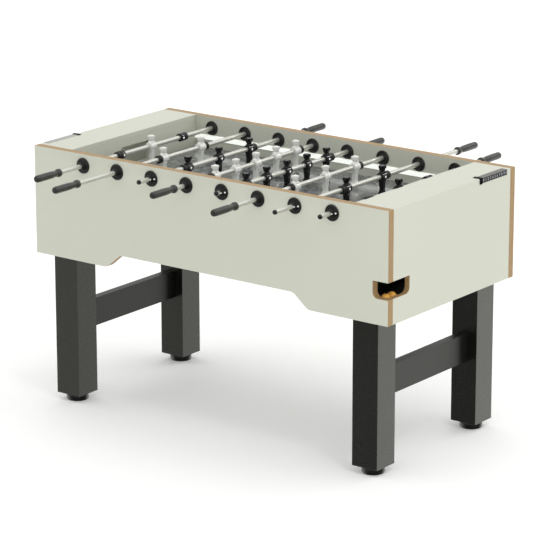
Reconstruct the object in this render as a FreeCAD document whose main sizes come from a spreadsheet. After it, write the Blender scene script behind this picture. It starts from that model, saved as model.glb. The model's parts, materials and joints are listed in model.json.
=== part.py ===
import FreeCAD, Part
import os
import re
import Sketcher
from FreeCAD import Placement, Rotation, Vector

# Foosball table. Origin: centre of the table on the floor. +X to the right-hand end, +Y to the
# back long side, +Z up. The table is the same after half a turn about Z, so the pieces of the
# left end and of the back side are the right and front ones, turned.

SIZES = {
    # cabinet
    "table_length": 1492.0,
    "table_width": 736.0,
    "table_height": 916.5,
    "panel_thickness": 28.0,
    "end_thickness": 19.0,
    "apron_bottom": 534.0,
    "arch_height": 50.0,
    "arch_top_half": 367.0,
    "arch_foot_half": 428.0,
    "arch_corner_radius": 30.0,
    # playing box
    "field_length": 1200.0,
    "playfield_level": 802.0,
    "playfield_thickness": 12.0,
    "groove_depth": 6.0,
    "goal_wall_thickness": 18.0,
    "goal_width": 156.0,
    "goal_top": 872.0,
    "goal_corner_radius": 12.0,
    "cover_thickness": 18.0,
    "trim_bottom": 832.0,
    "trim_width": 17.0,
    "trim_thickness": 3.0,
    # ball pick-up openings, trays and balls
    "pickup_bottom": 620.5,
    "pickup_top": 678.5,
    "pickup_side_length": 60.5,
    "pickup_end_reach": 248.0,
    "pickup_corner_radius": 20.0,
    "tray_level": 595.5,
    "tray_wall": 4.0,
    "tray_wall_height": 45.0,
    "tray_level_end": 230.0,
    "tray_rise": 40.0,
    "tray_gap": 0.5,
    "ball_radius": 16.0,
    # legs and feet
    "leg_width": 100.0,
    "leg_centre_x": 639.0,
    "leg_bottom": 26.0,
    "leg_top": 590.0,
    "stretcher_thickness": 30.0,
    "stretcher_bottom": 249.0,
    "stretcher_height": 101.0,
    "foot_radius": 39.5,
    "foot_pad": 22.0,
    "foot_neck_radius": 14.0,
    "stud_radius": 5.0,
    "stud_length": 40.0,
    "bolt_radius": 4.0,
    "bolt_length": 118.0,
    "bolt_head_radius": 6.5,
    "bolt_head": 5.0,
    "bolt_level": 567.0,
    "bolt_spacing": 50.0,
    "dowel_length": 40.0,
    "dowel_spacing": 50.0,
    "hole_gap": 0.3,
    # rods
    "rod_level": 876.5,
    "rod_pitch": 150.0,
    "rod_radius": 8.0,
    "rod_wall": 2.0,
    "fit_gap": 0.06,
    "touch_gap": 0.3,
    "hub_radius": 14.5,
    "hub_length": 31.0,
    "stop_radius": 14.0,
    "stop_length": 16.5,
    "collar_length": 18.5,
    "cap_head": 8.0,
    "cap_plug": 15.0,
    "handle_length": 121.0,
    "handle_bore": 100.0,
    "handle_radius": 12.5,
    "bearing_radius": 27.5,
    "bearing_barrel_radius": 15.0,
    "bearing_flange": 5.0,
    "bearing_boss_radius": 13.5,
    "bearing_boss": 13.0,
    "lock_ring_radius": 26.0,
    "lock_ring": 5.0,
    # players, measured up and down from the rod's axis
    "player_head": 38.0,
    "player_foot": 69.5,
    # score counters
    "rail_start": 152.0,
    "rail_length": 166.0,
    "rail_reach": 25.0,
    "rail_drop": 17.5,
    "rail_thickness": 1.5,
    "marker_width": 13.0,
    "marker_overlap": 5.0,
}

# Each kind of rod: its players, and then the distance between them and the distance of the handle's
# end and of the capped end from the middle of the group of players.
ROD_KINDS = {
    "goalkeeper": (1, {"spacing": 0.0, "reach": 608.5, "tail": 444.0}),
    "defence": (2, {"spacing": 206.0, "reach": 673.0, "tail": 500.0}),
    "attack": (3, {"spacing": 170.0, "reach": 612.0, "tail": 437.0}),
    "midfield": (5, {"spacing": 113.0, "reach": 563.0, "tail": 392.0}),
}

# A goalkeeper's rod holds its stop rings with two collars of its own, this far from the player.
GOALKEEPER_COLLAR = 163.75

# The rods from left to right, with the side that each handle is on, and how far each one stands
# out towards its handle.
RODS = [
    ("goalkeeper", "front", 3.0),
    ("defence", "front", 17.0),
    ("attack", "back", -1.5),
    ("midfield", "front", -14.0),
    ("midfield", "back", -10.5),
    ("attack", "front", -5.5),
    ("defence", "back", 20.5),
    ("goalkeeper", "back", 4.5),
]

UPRIGHT = Rotation()
ALONG_Y = Rotation(Vector(1, 0, 0), -90)

doc = FreeCAD.newDocument("foosball_table")
sheet = doc.addObject("Spreadsheet::Sheet", "sizes")
nodes = []


def fill_sheet():
    """Write every driving dimension into the sheet, one row each, with its name as alias."""
    rows = dict(SIZES)
    for kind, (_, distances) in ROD_KINDS.items():
        for name, value in distances.items():
            rows[f"{kind}_{name}"] = value
    for number, (_, _, shift) in enumerate(RODS, start=1):
        rows[f"shift_{number}"] = shift
    rows["goalkeeper_collar"] = GOALKEEPER_COLLAR
    for row, (alias, value) in enumerate(rows.items(), start=1):
        sheet.set(f"A{row}", alias)
        sheet.set(f"B{row}", str(value))
        sheet.setAlias(f"B{row}", alias)
    doc.recompute()


# ---------------------------------------------------------------- building blocks


def on_sheet(text):
    """Point every name in an expression at its cell: table_length / 2 reads the sheet."""
    return re.sub(r"[a-z]\w*", r"sizes.\g<0>", str(text))


def bind(item, prop, text):
    item.setExpression(prop, on_sheet(text))


def value_of(text):
    return float(sheet.evalExpression(on_sheet(text)))


def put(item, at, turn=UPRIGHT):
    """Place an object: at holds three expressions."""
    item.Placement = Placement(Vector(0, 0, 0), turn)
    for axis, text in zip("xyz", at):
        bind(item, f"Placement.Base.{axis}", text)
    return item


def box(name, size, at):
    item = doc.addObject("Part::Box", name)
    for prop, text in zip(("Length", "Width", "Height"), size):
        bind(item, prop, text)
    return put(item, at)


def cylinder(name, radius, height, at, turn=UPRIGHT):
    item = doc.addObject("Part::Cylinder", name)
    bind(item, "Radius", radius)
    bind(item, "Height", height)
    return put(item, at, turn)


def fuse(name, items):
    item = doc.addObject("Part::MultiFuse", name)
    item.Shapes = items
    return item


def common(name, items):
    item = doc.addObject("Part::MultiCommon", name)
    item.Shapes = items
    return item


def cut(name, base, tools):
    item = doc.addObject("Part::Cut", name)
    item.Base = base
    item.Tool = tools[0] if len(tools) == 1 else fuse(f"{name}_tools", tools)
    return item


def link(name, target, at, turn=UPRIGHT):
    """One more of a piece that is already drawn."""
    item = doc.addObject("App::Link", name)
    item.LinkedObject = target
    return put(item, at, turn)


def group(name, members):
    item = doc.addObject("Part::Compound", name)
    item.Links = members
    return item


def node(item, label, at=("0", "0", "0"), half_turn=False):
    """Name a finished sub-part and set it in its place."""
    item.Label = label
    nodes.append(item)
    return put(item, at, Rotation(Vector(0, 0, 1), 180 if half_turn else 0))


def draw(sketch, corners, first=0):
    """Draw a closed outline, each corner tied to the origin by its two expressions."""
    points = [Vector(value_of(x), value_of(y), 0) for x, y in corners]
    count = len(corners)
    for index in range(count):
        sketch.addGeometry(Part.LineSegment(points[index], points[(index + 1) % count]))
    for index, corner in enumerate(corners):
        line = first + index
        after = first + (index + 1) % count
        sketch.addConstraint(Sketcher.Constraint("Coincident", line, 2, after, 1))
        for axis, text in zip("XY", corner):
            tie_corner(sketch, line, axis, text)


def tie_corner(sketch, line, axis, text):
    if value_of(text) == 0:
        along = -2 if axis == "X" else -1
        sketch.addConstraint(Sketcher.Constraint("PointOnObject", line, 1, along))
        return
    tie = Sketcher.Constraint(f"Distance{axis}", -1, 1, line, 1, value_of(text))
    name = f"corner_{line}_{axis.lower()}"
    sketch.renameConstraint(sketch.addConstraint(tie), name)
    bind(sketch, f"Constraints.{name}", text)


def body_with(name, plane, outlines):
    """A body with one sketch on its own origin plane, holding one or more closed outlines."""
    body = doc.addObject("PartDesign::Body", name)
    sketch = body.newObject("Sketcher::SketchObject", f"{name}_outline")
    support = next(f for f in body.Origin.OriginFeatures if f.Role == plane)
    sketch.AttachmentSupport = [(support, "")]
    sketch.MapMode = "FlatFace"
    first = 0
    for corners in outlines:
        draw(sketch, corners, first)
        first += len(corners)
    return body, sketch


def board(name, plane, outlines, thickness):
    """Flat board: the outlines padded to a thickness (towards +X from YZ, towards -Y from XZ)."""
    body, sketch = body_with(name, plane, outlines)
    pad = body.newObject("PartDesign::Pad", f"{name}_pad")
    pad.Profile = sketch
    bind(pad, "Length", thickness)
    doc.recompute()
    return body


def round_corners(body, corners, radius):
    """Round the edges that cross the board at the given corners of its outline."""
    solid = body.Tip
    across_x = body.Group[0].AttachmentSupport[0][0].Role == "YZ_Plane"
    across = Vector(1, 0, 0) if across_x else Vector(0, 1, 0)
    wanted = [(value_of(a), value_of(b)) for a, b in corners]
    names = []
    for index, edge in enumerate(solid.Shape.Edges, start=1):
        if len(edge.Vertexes) != 2 or abs(edge.tangentAt(edge.FirstParameter).dot(across)) < 0.99:
            continue
        middle = edge.CenterOfMass
        side = middle.y if across_x else middle.x
        if any(abs(side - a) < 0.1 and abs(middle.z - b) < 0.1 for a, b in wanted):
            names.append(f"Edge{index}")
    if len(names) != len(corners):
        raise RuntimeError(f"{body.Name}: {len(names)} edges to round, {len(corners)} wanted")
    fillet = body.newObject("PartDesign::Fillet", f"{body.Name}_round_{len(body.Group)}")
    fillet.Base = (solid, names)
    bind(fillet, "Radius", radius)
    doc.recompute()
    return body


def turned(name, outline):
    """A turned piece: an outline of radius and height, spun about the Y axis."""
    body, sketch = body_with(name, "XY_Plane", [outline])
    spin = body.newObject("PartDesign::Revolution", f"{name}_spin")
    spin.Profile = sketch
    spin.ReferenceAxis = (sketch, ["V_Axis"])
    spin.Angle = 360
    return body


# ---------------------------------------------------------------- cabinet

INNER_Y = "(table_width / 2 - panel_thickness)"
INNER_X = "(table_length / 2 - end_thickness)"


def side_panel(name):
    """Long side: arched along its lower edge, cut away at one end for the ball pick-up."""
    notch = "table_length / 2 - pickup_side_length"
    arch_top = "apron_bottom + arch_height"
    arch = [
        ("-arch_foot_half", "apron_bottom"),
        ("-arch_top_half", arch_top),
        ("arch_top_half", arch_top),
        ("arch_foot_half", "apron_bottom"),
    ]
    outline = [
        ("-table_length / 2", "apron_bottom"),
        *arch,
        ("table_length / 2", "apron_bottom"),
        ("table_length / 2", "pickup_bottom"),
        (notch, "pickup_bottom"),
        (notch, "pickup_top"),
        ("table_length / 2", "pickup_top"),
        ("table_length / 2", "table_height"),
        ("-table_length / 2", "table_height"),
    ]
    panel = board(f"{name}_board", "XZ_Plane", [outline], "panel_thickness")
    round_corners(panel, arch, "arch_corner_radius")
    round_corners(panel, [(notch, "pickup_bottom")], "pickup_corner_radius")
    holes = [
        cylinder(
            f"{name}_bearing_hole_{index}",
            "bearing_barrel_radius + hole_gap",
            "panel_thickness + 2",
            (f"({index} - 3.5) * rod_pitch", "-panel_thickness - 1", "rod_level"),
            ALONG_Y,
        )
        for index in range(len(RODS))
    ]
    for index, (end, side) in enumerate(((-1, -1), (-1, 1), (1, -1), (1, 1))):
        hole = cylinder(
            f"{name}_bolt_hole_{index}",
            "bolt_radius + hole_gap",
            "bolt_length - leg_width + 1",
            (
                f"{end} * leg_centre_x + {side} * bolt_spacing / 2",
                "-(bolt_length - leg_width + 1)",
                "bolt_level",
            ),
            ALONG_Y,
        )
        holes.append(hole)
    groove = box(
        f"{name}_groove",
        ("field_length", "groove_depth", "playfield_thickness"),
        ("-field_length / 2", "-groove_depth", "playfield_level - playfield_thickness"),
    )
    return cut(name, panel, [*holes, groove])


def end_panel(name):
    """Short side between the long ones, cut away at its front corner for the ball pick-up."""
    outline = [
        (f"-{INNER_Y}", "apron_bottom"),
        (INNER_Y, "apron_bottom"),
        (INNER_Y, "table_height"),
        (f"-{INNER_Y}", "table_height"),
        (f"-{INNER_Y}", "pickup_top"),
        ("-pickup_end_reach", "pickup_top"),
        ("-pickup_end_reach", "pickup_bottom"),
        (f"-{INNER_Y}", "pickup_bottom"),
    ]
    panel = board(name, "YZ_Plane", [outline], "end_thickness")
    return round_corners(panel, [("-pickup_end_reach", "pickup_bottom")], "pickup_corner_radius")


def goal_wall(name):
    """Wall at the end of the playing field, with the goal mouth in the middle."""
    underside = "playfield_level - playfield_thickness"
    wall_top = "table_height - cover_thickness"
    wall = [
        (f"-{INNER_Y}", underside),
        (INNER_Y, underside),
        (INNER_Y, wall_top),
        (f"-{INNER_Y}", wall_top),
    ]
    mouth = [
        ("-goal_width / 2", "playfield_level"),
        ("goal_width / 2", "playfield_level"),
        ("goal_width / 2", "goal_top"),
        ("-goal_width / 2", "goal_top"),
    ]
    panel = board(name, "YZ_Plane", [wall, mouth], "goal_wall_thickness")
    return round_corners(panel, mouth[2:], "goal_corner_radius")


def end_cover(name):
    """Lid over the space behind a goal."""
    return box(
        name,
        (f"{INNER_X} - field_length / 2", f"2 * {INNER_Y}", "cover_thickness"),
        ("0", "0", "0"),
    )


def ball_tray(name):
    """Trough behind a goal: it slopes down to a level stretch at the pick-up opening."""
    low = "tray_level"
    near = f"-({INNER_Y} - tray_gap)"
    far = f"{INNER_Y} - tray_gap"
    width = f"{INNER_X} - field_length / 2 - goal_wall_thickness - 2 * tray_gap"

    def strip(part, start, top, thickness, offset):
        """A piece of the trough seen from the side, from its underside up to top."""
        outline = [
            (start, f"{low} - tray_wall"),
            ("-tray_level_end", f"{low} - tray_wall"),
            (far, f"{low} + tray_rise - tray_wall"),
            (far, f"{low} + tray_rise + {top}"),
            ("-tray_level_end", f"{low} + {top}"),
            (start, f"{low} + {top}"),
        ]
        piece = board(f"{name}_{part}", "YZ_Plane", [outline], thickness)
        return put(piece, (offset, "0", "0"))

    floor = strip("floor", near, "0", width, "0")
    inner = strip("inner_wall", near, "tray_wall_height", "tray_wall", "0")
    outer = strip("outer_wall", "-pickup_end_reach", "tray_wall_height", "tray_wall", f"{width} - tray_wall")
    return fuse(name, [floor, inner, outer])


def build_cabinet():
    node(side_panel("front"), "side_panel_front", ("0", f"-{INNER_Y}", "0"))
    node(side_panel("back"), "side_panel_back", ("0", INNER_Y, "0"), half_turn=True)
    node(end_panel("end_right"), "end_panel_right", (INNER_X, "0", "0"))
    node(end_panel("end_left"), "end_panel_left", (f"-{INNER_X}", "0", "0"), half_turn=True)
    node(goal_wall("goal_right"), "goal_wall_right", ("field_length / 2", "0", "0"))
    node(goal_wall("goal_left"), "goal_wall_left", ("-field_length / 2", "0", "0"), half_turn=True)

    cover_z = "table_height - cover_thickness"
    node(end_cover("cover_right"), "end_cover_right", ("field_length / 2", f"-{INNER_Y}", cover_z))
    node(end_cover("cover_left"), "end_cover_left", ("-field_length / 2", INNER_Y, cover_z), half_turn=True)

    playfield = box(
        "playfield_board",
        ("field_length", f"2 * {INNER_Y} + 2 * groove_depth", "playfield_thickness"),
        ("0", "0", "0"),
    )
    node(
        playfield,
        "playfield",
        ("-field_length / 2", f"-{INNER_Y} - groove_depth", "playfield_level - playfield_thickness"),
    )

    trim_size = ("field_length", "trim_thickness", "trim_width")
    trims = [
        box("trim_front", trim_size, ("-field_length / 2", f"-{INNER_Y}", "trim_bottom")),
        box("trim_back", trim_size, ("-field_length / 2", f"{INNER_Y} - trim_thickness", "trim_bottom")),
    ]
    node(group("trims", trims), "side_wall_trims")

    tray_x = "field_length / 2 + goal_wall_thickness + tray_gap"
    trays = [ball_tray("tray_right"), ball_tray("tray_left")]
    put(trays[0], (tray_x, "0", "0"))
    put(trays[1], (f"-({tray_x})", "0", "0"), Rotation(Vector(0, 0, 1), 180))
    node(group("trays", trays), "ball_trays")


# ---------------------------------------------------------------- legs

LEG_Y = f"({INNER_Y} - leg_width / 2)"


def leg(name):
    """Square leg seen from its own centre line, its inner side towards +Y."""
    post = box(
        f"{name}_post",
        ("leg_width", "leg_width", "leg_top - leg_bottom"),
        ("-leg_width / 2", "-leg_width / 2", "leg_bottom"),
    )
    foot_of_hole = ("0", "0", "leg_bottom - 1")
    holes = [cylinder(f"{name}_stud_hole", "stud_radius + fit_gap", "stud_length + 2", foot_of_hole)]
    for sign in (-1, 1):
        holes.append(
            cylinder(
                f"{name}_bolt_hole_{sign + 1}",
                "bolt_radius + hole_gap",
                "leg_width + 2",
                (f"{sign} * bolt_spacing / 2", "-leg_width / 2 - 1", "bolt_level"),
                ALONG_Y,
            )
        )
        holes.append(
            cylinder(
                f"{name}_dowel_hole_{sign + 1}",
                "bolt_radius + hole_gap",
                "dowel_length / 2 + 2",
                ("0", "leg_width / 2 - dowel_length / 2 - 1", dowel_level(sign)),
                ALONG_Y,
            )
        )
    return cut(name, post, holes)


def dowel_level(sign):
    return f"stretcher_bottom + stretcher_height / 2 + {sign} * dowel_spacing / 2"


def stretcher(name):
    """Rail between the two legs of one end, drilled in both ends for its dowels."""
    length = f"2 * ({LEG_Y} - leg_width / 2)"
    rail = box(
        f"{name}_rail",
        ("stretcher_thickness", length, "stretcher_height"),
        ("-stretcher_thickness / 2", f"-{length} / 2", "stretcher_bottom"),
    )
    depth = "(dowel_length / 2 + 1)"
    holes = []
    for sign in (-1, 1):
        for end, start in (("front", f"-{length} / 2 - 1"), ("back", f"{length} / 2 - {depth}")):
            hole = cylinder(
                f"{name}_{end}_hole_{sign + 1}",
                "bolt_radius + hole_gap",
                f"{depth} + 1",
                ("0", start, dowel_level(sign)),
                ALONG_Y,
            )
            holes.append(hole)
    return cut(name, rail, holes)


def frame_fasteners():
    """Eight bolts from the legs into the long sides, and eight dowels in the stretchers."""
    bolt = turned(
        "bolt",
        [
            ("0", "-bolt_head"),
            ("bolt_head_radius", "-bolt_head"),
            ("bolt_head_radius", "0"),
            ("bolt_radius", "0"),
            ("bolt_radius", "bolt_length"),
            ("0", "bolt_length"),
        ],
    )
    dowel = turned(
        "dowel",
        [("0", "0"), ("bolt_radius", "0"), ("bolt_radius", "dowel_length"), ("0", "dowel_length")],
    )
    members = []
    for end in (-1, 1):
        for side in (-1, 1):
            turn = Rotation(Vector(0, 0, 1), 0 if side > 0 else 180)
            for row in (-1, 1):
                tag = f"{len(members)}"
                bolt_at = (
                    f"{end} * leg_centre_x + {row} * bolt_spacing / 2",
                    f"{side} * ({LEG_Y} - leg_width / 2)",
                    "bolt_level",
                )
                dowel_at = (
                    f"{end} * leg_centre_x",
                    f"{side} * ({LEG_Y} - leg_width / 2 - dowel_length / 2)",
                    dowel_level(row),
                )
                members.append(link(f"bolt_{tag}", bolt, bolt_at, turn))
                members.append(link(f"dowel_{tag}", dowel, dowel_at, turn))
    return group("fasteners", members)


def foot(name):
    """Round levelling foot with its threaded stud, which stands in the leg."""
    gap = "leg_bottom - touch_gap"
    return turned(
        name,
        [
            ("0", "0"),
            ("foot_radius - 2", "0"),
            ("foot_radius", "2"),
            ("foot_radius", "foot_pad - 3"),
            ("foot_radius - 3", "foot_pad"),
            ("foot_neck_radius", "foot_pad"),
            ("foot_neck_radius", gap),
            ("stud_radius", gap),
            ("stud_radius", "leg_bottom + stud_length"),
            ("0", "leg_bottom + stud_length"),
        ],
    )


def build_legs():
    for side, side_sign in (("front", -1), ("back", 1)):
        for end, end_sign in (("left", -1), ("right", 1)):
            at = (f"{end_sign} * leg_centre_x", f"{side_sign} * {LEG_Y}", "0")
            corner = f"{side}_{end}"
            node(leg(f"post_{corner}"), f"leg_{corner}", at, half_turn=side_sign > 0)
            stand = group(f"stand_{corner}", [put(foot(f"pad_{corner}"), ("0", "0", "0"), UP_FROM_Y)])
            node(stand, f"foot_{corner}", at)
    for end, end_sign in (("left", -1), ("right", 1)):
        node(stretcher(f"bar_{end}"), f"stretcher_{end}", (f"{end_sign} * leg_centre_x", "0", "0"))
    node(frame_fasteners(), "frame_fasteners")


UP_FROM_Y = Rotation(Vector(1, 0, 0), 90)


# ---------------------------------------------------------------- rods

BORE = "rod_radius + fit_gap"


def rod_bearings():
    """A flanged housing through the long side and a lock ring inside it, at both ends of each rod."""
    flange_start = "panel_thickness"
    flange_end = "panel_thickness + bearing_flange"
    boss_end = "panel_thickness + bearing_flange + bearing_boss"
    housing = turned(
        "housing",
        [
            (BORE, "0"),
            ("bearing_barrel_radius", "0"),
            ("bearing_barrel_radius", flange_start),
            ("bearing_radius", flange_start),
            ("bearing_radius - 1.5", flange_end),
            ("bearing_boss_radius", flange_end),
            ("bearing_boss_radius", boss_end),
            (BORE, boss_end),
        ],
    )
    ring = turned(
        "lock_ring_master",
        [
            (BORE, "-lock_ring"),
            ("lock_ring_radius - 1.5", "-lock_ring"),
            ("lock_ring_radius", "0"),
            (BORE, "0"),
        ],
    )
    members = []
    for index in range(len(RODS)):
        for side in (-1, 1):
            at = (f"({index} - 3.5) * rod_pitch", f"{side} * {INNER_Y}", "rod_level")
            turn = Rotation(Vector(0, 0, 1), 0 if side > 0 else 180)
            tag = f"{index + 1}_{'back' if side > 0 else 'front'}"
            members.append(link(f"housing_{tag}", housing, at, turn))
            members.append(link(f"lock_ring_{tag}", ring, at, turn))
    return group("bearings", members)


def player_master():
    """A player seen from the front and from the side, with a hub round the rod."""
    front = [
        ("-12.5", "-player_foot"),
        ("12.5", "-player_foot"),
        ("12.5", "-52"),
        ("9.5", "-46"),
        ("11", "-14"),
        ("14.5", "6"),
        ("14", "16"),
        ("5", "20"),
        ("10.5", "24"),
        ("10.5", "35"),
        ("8", "player_head"),
        ("-8", "player_head"),
        ("-10.5", "35"),
        ("-10.5", "24"),
        ("-5", "20"),
        ("-14", "16"),
        ("-14.5", "6"),
        ("-11", "-14"),
        ("-9.5", "-46"),
        ("-12.5", "-52"),
    ]
    side = [
        ("-6", "-player_foot"),
        ("6", "-player_foot"),
        ("12", "-60"),
        ("6.5", "-46"),
        ("9", "-16"),
        ("13", "-6"),
        ("13", "10"),
        ("5.5", "20"),
        ("10.5", "24"),
        ("10.5", "34"),
        ("7", "player_head"),
        ("-7", "player_head"),
        ("-10.5", "34"),
        ("-10.5", "24"),
        ("-5.5", "20"),
        ("-13", "10"),
        ("-13", "-6"),
        ("-9", "-16"),
        ("-6.5", "-46"),
        ("-12", "-60"),
    ]
    seen_from_front = put(board("player_front", "YZ_Plane", [front], "40"), ("-20", "0", "0"))
    seen_from_side = put(board("player_side", "XZ_Plane", [side], "40"), ("0", "20", "0"))
    figure = common("player_figure", [seen_from_front, seen_from_side])
    hub = cylinder("player_hub", "hub_radius", "hub_length", ("0", "-hub_length / 2", "0"), ALONG_Y)
    bore = cylinder("player_bore", "rod_radius + fit_gap", "40", ("0", "-20", "0"), ALONG_Y)
    return cut("player", fuse("player_solid", [figure, hub]), [bore])


def stop_master():
    """Rubber ring that stops the rod at the wall; it sits against a hub or a collar."""
    return turned(
        "stop_ring",
        [
            (BORE, "-stop_length / 2"),
            ("stop_radius - 1", "-stop_length / 2"),
            ("stop_radius", "-stop_length / 2 + 1"),
            ("stop_radius", "stop_length / 2 - 1"),
            ("stop_radius - 1", "stop_length / 2"),
            (BORE, "stop_length / 2"),
        ],
    )


def collar_master():
    """Screwed collar that holds a goalkeeper's stop ring."""
    return turned(
        "collar",
        [
            (BORE, "-collar_length / 2"),
            ("hub_radius", "-collar_length / 2"),
            ("hub_radius", "collar_length / 2"),
            (BORE, "collar_length / 2"),
        ],
    )


def cap_master():
    """End cap: a head as wide as the rod, and a plug inside the tube."""
    plug = "rod_radius - rod_wall - fit_gap"
    return turned(
        "end_cap",
        [
            ("0", "0"),
            ("rod_radius - 2", "0"),
            ("rod_radius", "2"),
            ("rod_radius", "cap_head"),
            (plug, "cap_head"),
            (plug, "cap_head + cap_plug"),
            ("0", "cap_head + cap_plug"),
        ],
    )


def handle_master():
    """Grip: a collar on the table's side, a waist, and a barrel with a rounded end."""
    return turned(
        "handle",
        [
            (BORE, "0"),
            ("handle_radius + 0.5", "0"),
            ("handle_radius + 1.5", "1.5"),
            ("handle_radius + 1.5", "12.5"),
            ("handle_radius + 0.5", "14"),
            ("handle_radius - 2.5", "19"),
            ("handle_radius - 2.5", "23"),
            ("handle_radius - 0.5", "45"),
            ("handle_radius", "70"),
            ("handle_radius", "handle_length - 12"),
            ("handle_radius - 1.5", "handle_length - 3"),
            ("handle_radius - 4.5", "handle_length"),
            ("0", "handle_length"),
            ("0", "handle_bore"),
            (BORE, "handle_bore"),
        ],
    )


def rod_tube(name, start, end):
    """The steel tube of a rod, from start to end along the rod."""
    length = f"({end}) - ({start})"
    outside = cylinder(f"{name}_outside", "rod_radius", length, ("0", start, "0"), ALONG_Y)
    inner_radius = "rod_radius - rod_wall"
    inside = cylinder(f"{name}_inside", inner_radius, f"{length} + 2", ("0", f"{start} - 1", "0"), ALONG_Y)
    return cut(f"{name}_cut", outside, [inside])


def both_ways(name, piece, middle, distance):
    """Two of a piece, at the same distance on either side of the middle."""
    return [
        link(f"{name}_{sign + 1}", piece, ("0", f"{middle} + {sign} * ({distance})", "0"))
        for sign in (-1, 1)
    ]


def build_rods():
    node(rod_bearings(), "rod_bearings")
    player = player_master()
    stop = stop_master()
    collar = collar_master()
    cap = cap_master()
    handle = handle_master()
    for number, (kind, side, _) in enumerate(RODS, start=1):
        name = f"rod_{number}"
        count = ROD_KINDS[kind][0]
        middle = f"shift_{number}"
        at = (f"({number} - 4.5) * rod_pitch", "0", "rod_level")
        front = side == "front"

        tube_start = f"{middle} - {kind}_tail + cap_head + touch_gap"
        tube_end = f"{middle} + {kind}_reach - handle_length + handle_bore - 1"
        node(rod_tube(name, tube_start, tube_end), f"{name}_tube", at, half_turn=front)

        places = [f"{middle} + ({place} - {(count - 1) / 2}) * {kind}_spacing" for place in range(count)]
        players = [
            link(f"{name}_player_{place}", player, ("0", y, "0")) for place, y in enumerate(places, start=1)
        ]
        node(group(f"{name}_team", players), f"{name}_players", at, half_turn=front)

        rubbers = [link(f"{name}_cap", cap, ("0", f"{middle} - {kind}_tail", "0"))]
        if kind == "goalkeeper":
            rubbers += both_ways(f"{name}_collar", collar, middle, "goalkeeper_collar")
            held_at = "goalkeeper_collar + collar_length / 2"
        else:
            held_at = f"{(count - 1) / 2} * {kind}_spacing + hub_length / 2"
        rubbers += both_ways(f"{name}_stop", stop, middle, f"{held_at} + touch_gap + stop_length / 2")
        node(group(f"{name}_rubbers", rubbers), f"{name}_stops", at, half_turn=front)

        grip = link(f"{name}_grip", handle, ("0", f"{middle} + {kind}_reach - handle_length", "0"))
        node(group(f"{name}_grips", [grip]), f"{name}_handle", at, half_turn=front)


# ---------------------------------------------------------------- score counters and balls


def angle_strip(name, reach, drop, gap, width):
    """An angle over the outer top edge of an end: a leaf on top and a leaf down the face."""
    inside = f"table_length / 2 + {gap}"
    under = f"table_height + {gap}"
    outline = [
        (f"{inside} + rail_thickness - ({reach})", under),
        (inside, under),
        (inside, f"table_height - ({drop})"),
        (f"{inside} + rail_thickness", f"table_height - ({drop})"),
        (f"{inside} + rail_thickness", f"{under} + rail_thickness"),
        (f"{inside} + rail_thickness - ({reach})", f"{under} + rail_thickness"),
    ]
    return board(name, "XZ_Plane", [outline], width)


def build_score_counters():
    marker_gap = "rail_thickness + touch_gap"
    rails = []
    for end, flipped in (("right", False), ("left", True)):
        turn = Rotation(Vector(0, 0, 1), 180 if flipped else 0)
        sign = "-" if flipped else ""
        rail = angle_strip(f"rail_{end}", "rail_reach", "rail_drop", "0", "rail_length")
        rails.append(put(rail, ("0", f"{sign}(rail_start + rail_length)", "0"), turn))
        marker = angle_strip(
            f"marker_{end}",
            "rail_reach + marker_overlap",
            "rail_drop + 1.5",
            marker_gap,
            "marker_width",
        )
        at = ("0", f"{sign}(rail_start + marker_width)", "0")
        node(group(f"marker_{end}_group", [marker]), f"score_marker_{end}", at, half_turn=flipped)
    node(group("rails", rails), "score_rails")


def build_balls():
    """Two balls side by side in the low end of the right-hand tray, against its end."""
    level = "tray_level + touch_gap + ball_radius"
    across = "table_length / 2 - 40"
    nearest = f"-({INNER_Y} - ball_radius - 1)"
    places = [(across, nearest, level), (across, f"{nearest} + 2 * ball_radius + 1", level)]
    for index, at in enumerate(places, start=1):
        ball = doc.addObject("Part::Sphere", f"ball_shape_{index}")
        bind(ball, "Radius", "ball_radius")
        node(ball, f"ball_{index}", at)


# ---------------------------------------------------------------- checks and files


def check_document():
    for item in doc.Objects:
        state = set(item.State) & {"Invalid", "Error"}
        if state:
            raise RuntimeError(f"{item.Name}: {state}")
    for item in nodes:
        if item.Shape.isNull() or not item.Shape.isValid():
            raise RuntimeError(f"{item.Label} has no valid shape")
        if not item.Shape.Solids:
            raise RuntimeError(f"{item.Label} holds no solid")


def write_steps():
    os.makedirs("parts", exist_ok=True)
    for item in nodes:
        item.Shape.exportStep(f"parts/{item.Label}.step")
        print(f"{item.Label}: {len(item.Shape.Solids)} solids, {item.Shape.Volume / 1000:.1f} cm3")
    print(len(nodes), "nodes")


fill_sheet()
build_cabinet()
build_legs()
build_rods()
build_score_counters()
build_balls()
doc.recompute()
check_document()
write_steps()
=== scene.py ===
import json
import math

import bmesh
import bpy
from mathutils import Matrix, Vector


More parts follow.
